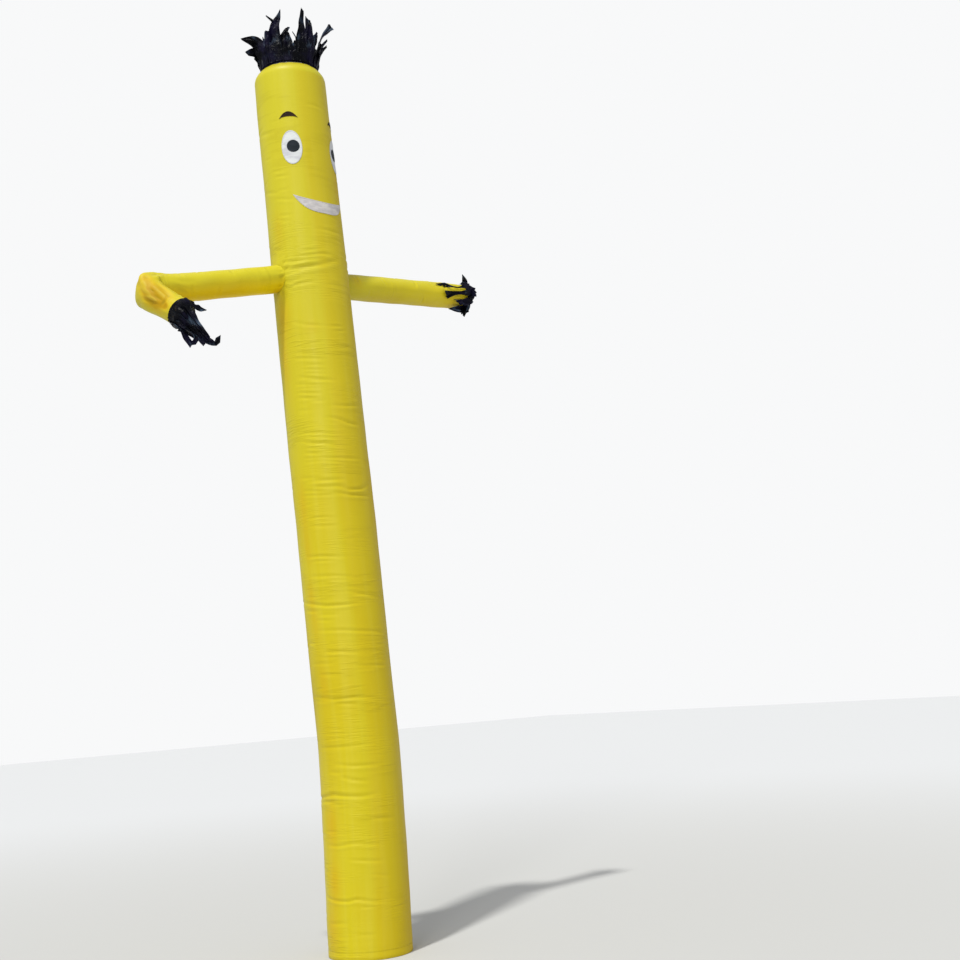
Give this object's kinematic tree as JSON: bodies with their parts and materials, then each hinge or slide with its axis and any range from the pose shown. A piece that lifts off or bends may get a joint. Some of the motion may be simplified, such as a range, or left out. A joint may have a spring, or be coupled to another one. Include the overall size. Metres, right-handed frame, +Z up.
{
  "type": "inflatable air dancer",
  "caption": "Tall inflatable tube figure with raised arms, ribbon hair and a smiling face. It stands on the open hem of its base, which fits over a round air outlet.",
  "frame": {"origin": "on the floor, under the middle of the whole dancer's extent", "axes": "+Z up along the tube, -Y the way the face looks, +X towards the dancer's own left arm"},
  "size_m": [2.5181, 0.706, 5.4116],
  "materials": {
    "yellow_nylon": "satin ripstop nylon",
    "black_nylon": "satin nylon",
    "white_nylon": "satin nylon",
    "dark_patch": "matt printed nylon"
  },
  "bodies": {
    "root": {"body_tube": "yellow_nylon", "arm_right": "yellow_nylon", "arm_left": "yellow_nylon", "hair": "black_nylon", "hand_fringe_right": "black_nylon", "hand_fringe_left": "black_nylon", "eye_white_right": "white_nylon", "eye_white_left": "white_nylon", "pupil_right": "dark_patch", "pupil_left": "dark_patch", "brow_right": "dark_patch", "brow_left": "dark_patch", "mouth": "white_nylon"}
  },
  "joints": []
}
